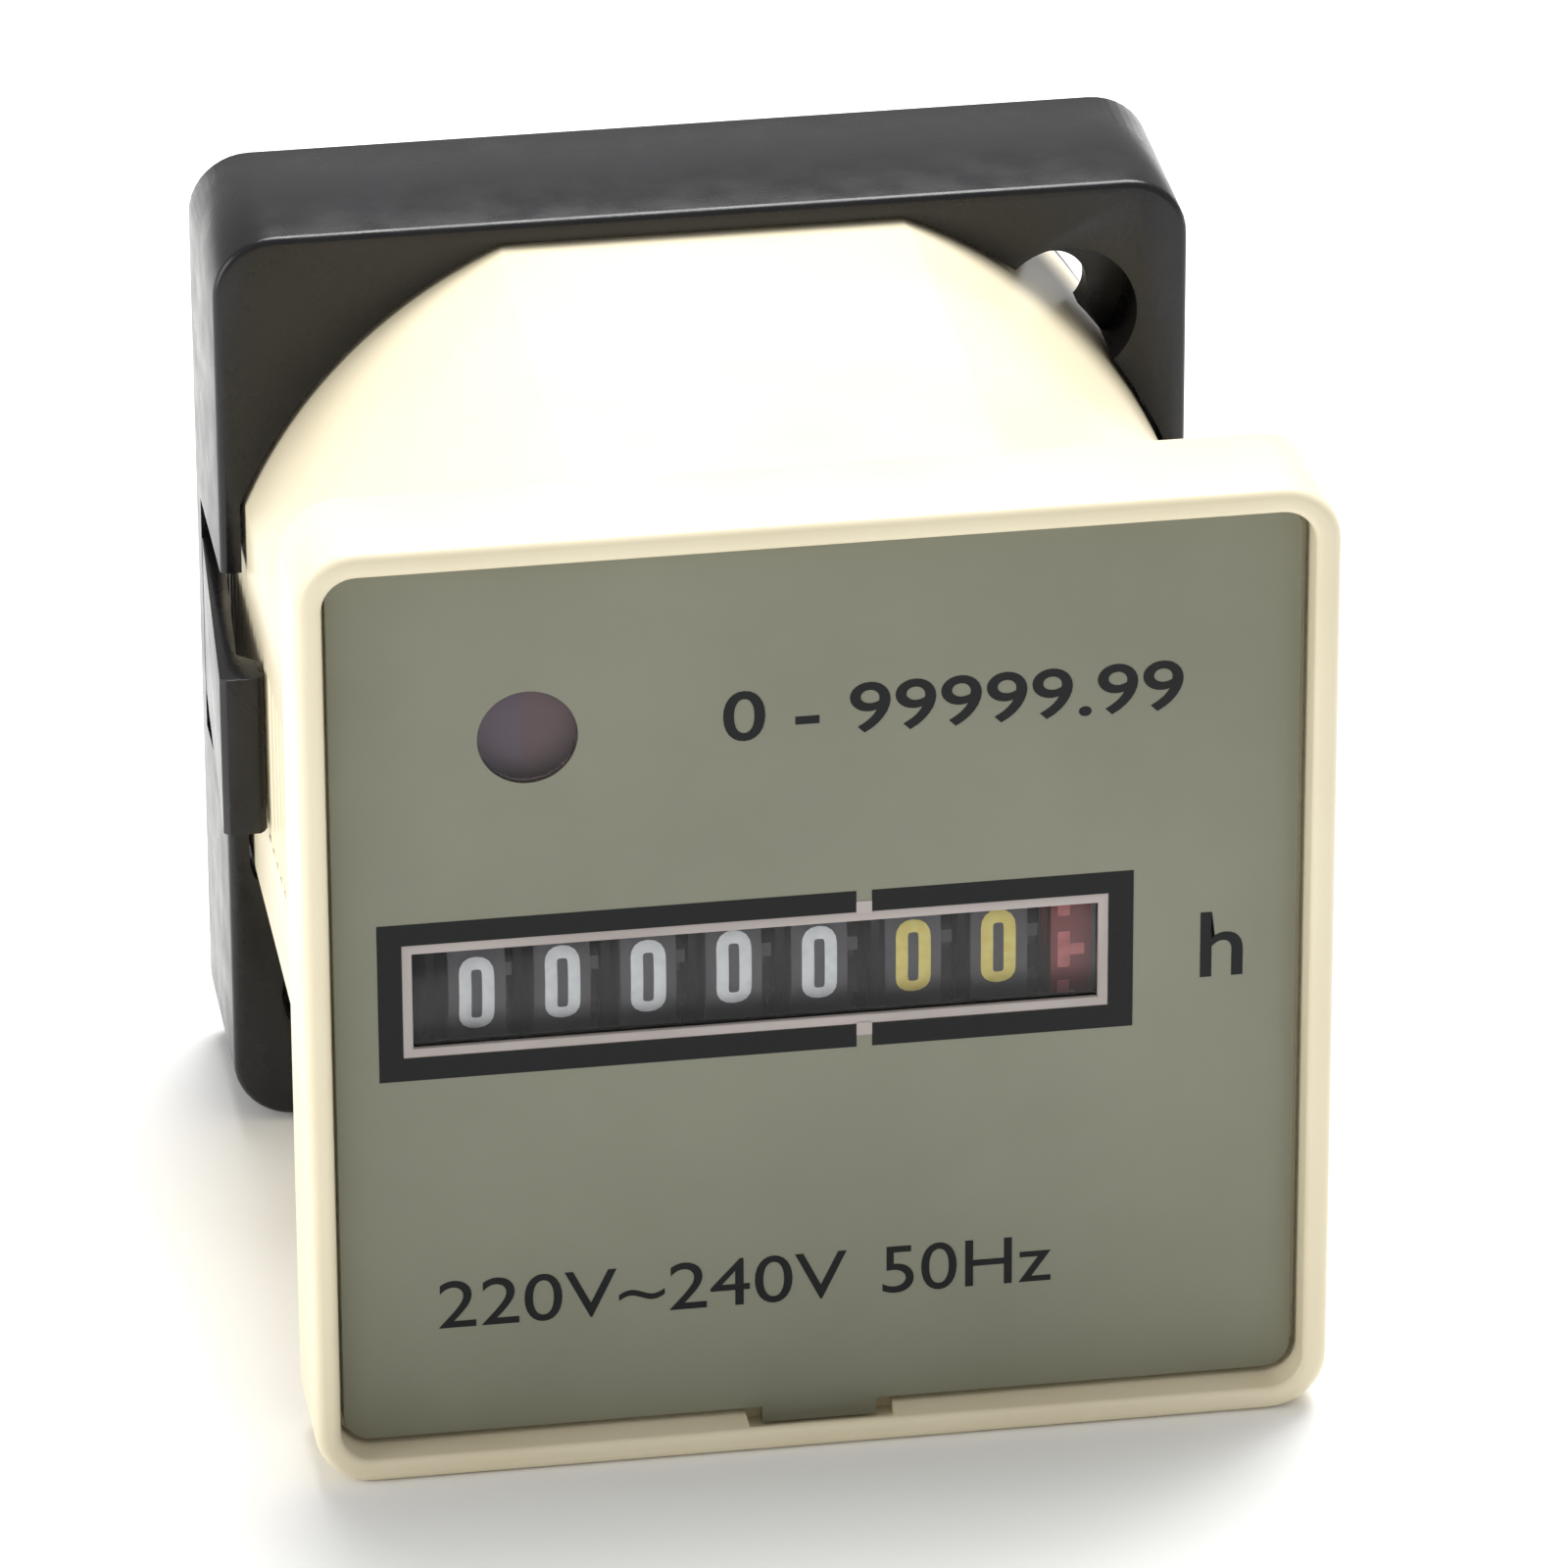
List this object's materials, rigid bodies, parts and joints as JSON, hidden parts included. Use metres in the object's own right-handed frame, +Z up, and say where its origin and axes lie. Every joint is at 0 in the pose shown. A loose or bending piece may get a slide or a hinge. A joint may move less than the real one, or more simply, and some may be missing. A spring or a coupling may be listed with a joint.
{
  "type": "hour meter",
  "caption": "Square-fronted panel hour meter: drum counter, running indicator, geared synchronous motor, rear screw terminals and a push-on latch bracket.",
  "frame": {"origin": "centre of the panel cut-out, in the plane where the bezel seats on the panel", "axes": "+Y to the rear, through the panel; +X to the right seen from the front; +Z up"},
  "size_m": [0.0492, 0.056, 0.048],
  "materials": {
    "cream_plastic": "fine moulded satin",
    "face_green": "matt printed sheet",
    "pale_liner": "moulded",
    "clear_window": "clear polished",
    "smoke_window": "smoked polished",
    "wheel_black": "moulded satin",
    "wheel_red": "moulded satin",
    "gear_white": "acetal, natural",
    "frame_steel": "zinc plated sheet",
    "shaft_steel": "ground",
    "screw_steel": "bright zinc",
    "plate_brass": "pressed sheet",
    "strap_brass": "pressed, tinned edge",
    "motor_steel": "nickel plated pressing",
    "bobbin_black": "glass-filled moulding",
    "winding_copper": "enamelled wire",
    "bush_bronze": "sintered",
    "magnet_dark": "ferrite",
    "indicator_red": "two-tone printed",
    "lead_red": "insulated wire",
    "cover_black": "fine moulded",
    "bracket_black": "moulded"
  },
  "bodies": {
    "case": {"housing": "cream_plastic", "face_plate": "face_green", "window_frame": "pale_liner", "counter_window": "clear_window", "indicator_window": "smoke_window", "counter_frame": "frame_steel", "counter_shaft": "shaft_steel", "carry_shaft": "shaft_steel", "frame_screws": "screw_steel", "front_plate": "plate_brass", "rear_plate": "plate_brass", "pillars": "strap_brass", "pillar_screws": "screw_steel", "movement_screws": "screw_steel", "arbor_pins": "shaft_steel", "motor_front_cup": "motor_steel", "motor_rear_cup": "motor_steel", "motor_bobbin": "bobbin_black", "motor_winding": "winding_copper", "motor_bushes": "bush_bronze", "motor_screws": "screw_steel", "coil_leads": "lead_red", "rear_cover": "cover_black", "cover_screws": "screw_steel", "terminal_straps": "strap_brass", "terminal_clamps": "screw_steel", "terminal_screws": "screw_steel"},
    "rotor": {"rotor_magnet": "magnet_dark", "rotor_shaft": "shaft_steel"},
    "first_wheel": {"first_wheel": "gear_white"},
    "second_wheel": {"second_wheel": "gear_white"},
    "output_wheel": {"output_wheel": "gear_white"},
    "idler_wheel": {"idler_wheel": "gear_white"},
    "indicator": {"indicator_shaft": "gear_white", "indicator_disc": "indicator_red"},
    "drive_pinion": {"drive_pinion": "gear_white"},
    "running_wheel": {"running_wheel": "wheel_red"},
    "wheel_ten_thousands": {"wheel_ten_thousands": "wheel_black"},
    "wheel_thousands": {"wheel_thousands": "wheel_black"},
    "wheel_hundreds": {"wheel_hundreds": "wheel_black"},
    "wheel_tens": {"wheel_tens": "wheel_black"},
    "wheel_ones": {"wheel_ones": "wheel_black"},
    "wheel_tenths": {"wheel_tenths": "wheel_black"},
    "wheel_hundredths": {"wheel_hundredths": "wheel_black"},
    "carry_pinion_1": {"carry_pinion_1": "gear_white"},
    "carry_pinion_2": {"carry_pinion_2": "gear_white"},
    "carry_pinion_3": {"carry_pinion_3": "gear_white"},
    "carry_pinion_4": {"carry_pinion_4": "gear_white"},
    "carry_pinion_5": {"carry_pinion_5": "gear_white"},
    "carry_pinion_6": {"carry_pinion_6": "gear_white"},
    "carry_pinion_7": {"carry_pinion_7": "gear_white"},
    "bracket": {"bracket_left": "bracket_black", "bracket_right": "bracket_black"},
    "latch_left": {"latch_left": "bracket_black"},
    "latch_right": {"latch_right": "bracket_black"}
  },
  "joints": [
    {"name": "rotor_spin", "type": "hinge", "parent": "case", "child": "rotor", "pos_m": [0, 0.0325, 0], "axis": [0, 1, 0], "continuous": true},
    {"name": "first_wheel_spin", "type": "hinge", "parent": "case", "child": "first_wheel", "pos_m": [-0.00299, 0.0232, -0.00849], "axis": [0, 1, 0], "continuous": true},
    {"name": "second_wheel_spin", "type": "hinge", "parent": "case", "child": "second_wheel", "pos_m": [0.00743, 0.0217, -0.00978], "axis": [0, 1, 0], "continuous": true},
    {"name": "output_wheel_spin", "type": "hinge", "parent": "case", "child": "output_wheel", "pos_m": [0.0102, 0.0202, 0.00035], "axis": [0, 1, 0], "continuous": true},
    {"name": "idler_wheel_spin", "type": "hinge", "parent": "case", "child": "idler_wheel", "pos_m": [-0.00755, 0.0202, 0.00334], "axis": [0, 1, 0], "continuous": true},
    {"name": "indicator_spin", "type": "hinge", "parent": "case", "child": "indicator", "pos_m": [-0.01335, 0.0202, 0.0135], "axis": [0, 1, 0], "continuous": true},
    {"name": "drive_pinion_spin", "type": "hinge", "parent": "case", "child": "drive_pinion", "pos_m": [0.0165, 0.01435, 0.00035], "axis": [1, 0, 0], "continuous": true},
    {"name": "running_wheel_spin", "type": "hinge", "parent": "case", "child": "running_wheel", "pos_m": [0.01232, 0.0046, 0.00035], "axis": [1, 0, 0], "continuous": true},
    {"name": "ten_thousands_spin", "type": "hinge", "parent": "case", "child": "wheel_ten_thousands", "pos_m": [-0.01565, 0.0046, 0.00035], "axis": [1, 0, 0], "continuous": true},
    {"name": "thousands_spin", "type": "hinge", "parent": "case", "child": "wheel_thousands", "pos_m": [-0.01168, 0.0046, 0.00035], "axis": [1, 0, 0], "continuous": true},
    {"name": "hundreds_spin", "type": "hinge", "parent": "case", "child": "wheel_hundreds", "pos_m": [-0.00771, 0.0046, 0.00035], "axis": [1, 0, 0], "continuous": true},
    {"name": "tens_spin", "type": "hinge", "parent": "case", "child": "wheel_tens", "pos_m": [-0.00374, 0.0046, 0.00035], "axis": [1, 0, 0], "continuous": true},
    {"name": "ones_spin", "type": "hinge", "parent": "case", "child": "wheel_ones", "pos_m": [0.00023, 0.0046, 0.00035], "axis": [1, 0, 0], "continuous": true},
    {"name": "tenths_spin", "type": "hinge", "parent": "case", "child": "wheel_tenths", "pos_m": [0.0046, 0.0046, 0.00035], "axis": [1, 0, 0], "continuous": true},
    {"name": "hundredths_spin", "type": "hinge", "parent": "case", "child": "wheel_hundredths", "pos_m": [0.00857, 0.0046, 0.00035], "axis": [1, 0, 0], "continuous": true},
    {"name": "carry_pinion_1_spin", "type": "hinge", "parent": "case", "child": "carry_pinion_1", "pos_m": [-0.01388, 0.00915, -0.00753], "axis": [1, 0, 0], "continuous": true},
    {"name": "carry_pinion_2_spin", "type": "hinge", "parent": "case", "child": "carry_pinion_2", "pos_m": [-0.00991, 0.00915, -0.00753], "axis": [1, 0, 0], "continuous": true},
    {"name": "carry_pinion_3_spin", "type": "hinge", "parent": "case", "child": "carry_pinion_3", "pos_m": [-0.00594, 0.00915, -0.00753], "axis": [1, 0, 0], "continuous": true},
    {"name": "carry_pinion_4_spin", "type": "hinge", "parent": "case", "child": "carry_pinion_4", "pos_m": [-0.00197, 0.00915, -0.00753], "axis": [1, 0, 0], "continuous": true},
    {"name": "carry_pinion_5_spin", "type": "hinge", "parent": "case", "child": "carry_pinion_5", "pos_m": [0.002, 0.00915, -0.00753], "axis": [1, 0, 0], "continuous": true},
    {"name": "carry_pinion_6_spin", "type": "hinge", "parent": "case", "child": "carry_pinion_6", "pos_m": [0.00637, 0.00915, -0.00753], "axis": [1, 0, 0], "continuous": true},
    {"name": "carry_pinion_7_spin", "type": "hinge", "parent": "case", "child": "carry_pinion_7", "pos_m": [0.01034, 0.00915, -0.00753], "axis": [1, 0, 0], "continuous": true},
    {"name": "bracket_slide", "type": "slide", "parent": "case", "child": "bracket", "axis": [0, -1, 0], "range_m": [-0.02, 0.021]},
    {"name": "latch_left_flex", "type": "hinge", "parent": "bracket", "child": "latch_left", "pos_m": [-0.02317, 0.0382, 0], "axis": [0, 0, -1], "range_deg": [0, 7], "stiffness_Nm_per_rad": 0.15},
    {"name": "latch_right_flex", "type": "hinge", "parent": "bracket", "child": "latch_right", "pos_m": [0.02317, 0.0382, 0], "axis": [0, 0, 1], "range_deg": [0, 7], "stiffness_Nm_per_rad": 0.15}
  ],
  "couplings": [
    {"joint": "first_wheel_spin", "follows": "rotor_spin", "ratio": -0.2},
    {"joint": "second_wheel_spin", "follows": "rotor_spin", "ratio": 0.033333},
    {"joint": "output_wheel_spin", "follows": "rotor_spin", "ratio": -0.0055556},
    {"joint": "idler_wheel_spin", "follows": "rotor_spin", "ratio": 0.0055556},
    {"joint": "indicator_spin", "follows": "rotor_spin", "ratio": -0.018519},
    {"joint": "drive_pinion_spin", "follows": "rotor_spin", "ratio": 0.013333},
    {"joint": "running_wheel_spin", "follows": "rotor_spin", "ratio": -0.0066667},
    {"joint": "carry_pinion_1_spin", "follows": "ten_thousands_spin", "ratio": -2.5},
    {"joint": "carry_pinion_2_spin", "follows": "thousands_spin", "ratio": -2.5},
    {"joint": "carry_pinion_3_spin", "follows": "hundreds_spin", "ratio": -2.5},
    {"joint": "carry_pinion_4_spin", "follows": "tens_spin", "ratio": -2.5},
    {"joint": "carry_pinion_5_spin", "follows": "ones_spin", "ratio": -2.5},
    {"joint": "carry_pinion_6_spin", "follows": "tenths_spin", "ratio": -2.5},
    {"joint": "carry_pinion_7_spin", "follows": "hundredths_spin", "ratio": -2.5}
  ]
}
